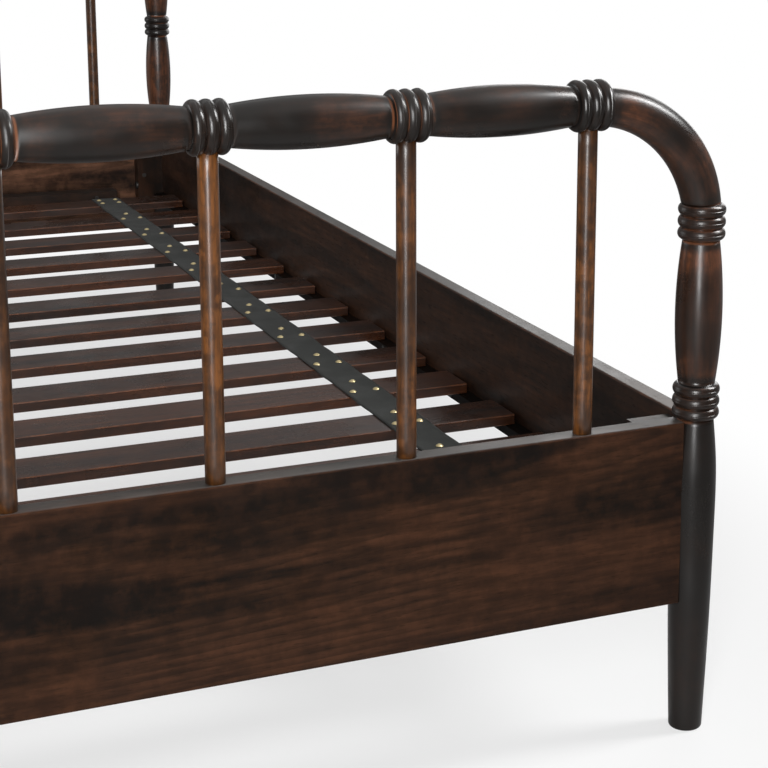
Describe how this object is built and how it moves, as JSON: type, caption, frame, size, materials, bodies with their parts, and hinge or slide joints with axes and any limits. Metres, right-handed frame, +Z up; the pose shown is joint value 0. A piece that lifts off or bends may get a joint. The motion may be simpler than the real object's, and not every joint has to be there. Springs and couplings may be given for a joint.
{
  "type": "spindle bed",
  "caption": "Dark stained wooden spindle bed with turned posts, bent corners, a wide panel at each end and a roll of slats on webbing.",
  "frame": {"origin": "on the floor under the middle of the bed", "axes": "+X to the right as seen from the foot, +Y from the foot towards the head, +Z up"},
  "size_m": [1.6118, 2.126, 1.2395],
  "materials": {
    "stained_wood": "espresso stain under a semi-gloss lacquer",
    "amber_wood": "amber-brown stain under a semi-gloss lacquer",
    "webbing": "woven, charcoal",
    "brass": "polished",
    "steel": "zinc plated",
    "black_plastic": "moulded"
  },
  "bodies": {
    "bedstead": {"foot_panel": "stained_wood", "foot_post_left": "stained_wood", "foot_post_right": "stained_wood", "foot_elbow_left": "stained_wood", "foot_elbow_right": "stained_wood", "foot_top_rail": "stained_wood", "foot_spindle_1": "amber_wood", "foot_spindle_2": "amber_wood", "foot_spindle_3": "amber_wood", "foot_spindle_4": "amber_wood", "foot_spindle_5": "amber_wood", "foot_spindle_6": "amber_wood", "foot_spindle_7": "amber_wood", "foot_spindle_8": "amber_wood", "foot_cleat": "stained_wood", "head_panel": "stained_wood", "head_post_left": "stained_wood", "head_post_right": "stained_wood", "head_elbow_left": "stained_wood", "head_elbow_right": "stained_wood", "head_top_rail": "stained_wood", "head_spindle_1": "amber_wood", "head_spindle_2": "amber_wood", "head_spindle_3": "amber_wood", "head_spindle_4": "amber_wood", "head_spindle_5": "amber_wood", "head_spindle_6": "amber_wood", "head_spindle_7": "amber_wood", "head_spindle_8": "amber_wood", "head_cleat": "stained_wood", "side_rail_left": "stained_wood", "side_rail_right": "stained_wood", "ledger_left": "stained_wood", "ledger_right": "stained_wood", "corner_blocks": "stained_wood", "centre_beam": "stained_wood", "centre_leg_1": "stained_wood", "centre_leg_2": "stained_wood", "beam_brackets": "steel", "wood_screws": "steel", "bed_bolts": "steel", "rail_inserts": "brass"},
    "slat_roll": {"slat_1": "stained_wood", "slat_2": "stained_wood", "slat_3": "stained_wood", "slat_4": "stained_wood", "slat_5": "stained_wood", "slat_6": "stained_wood", "slat_7": "stained_wood", "slat_8": "stained_wood", "slat_9": "stained_wood", "slat_10": "stained_wood", "slat_11": "stained_wood", "slat_12": "stained_wood", "slat_13": "stained_wood", "strap_left": "webbing", "strap_right": "webbing", "tacks": "brass"},
    "leveller_1": {"levelling_foot_1": "black_plastic"},
    "leveller_2": {"levelling_foot_2": "black_plastic"}
  },
  "joints": [
    {"name": "slat_lift", "type": "slide", "parent": "bedstead", "child": "slat_roll", "axis": [0, 0, 1], "range_m": [0, 0.15]},
    {"name": "leveller_1_travel", "type": "slide", "parent": "bedstead", "child": "leveller_1", "axis": [0, 0, 1], "range_m": [0, 0.012]},
    {"name": "leveller_2_travel", "type": "slide", "parent": "bedstead", "child": "leveller_2", "axis": [0, 0, 1], "range_m": [0, 0.012]}
  ]
}
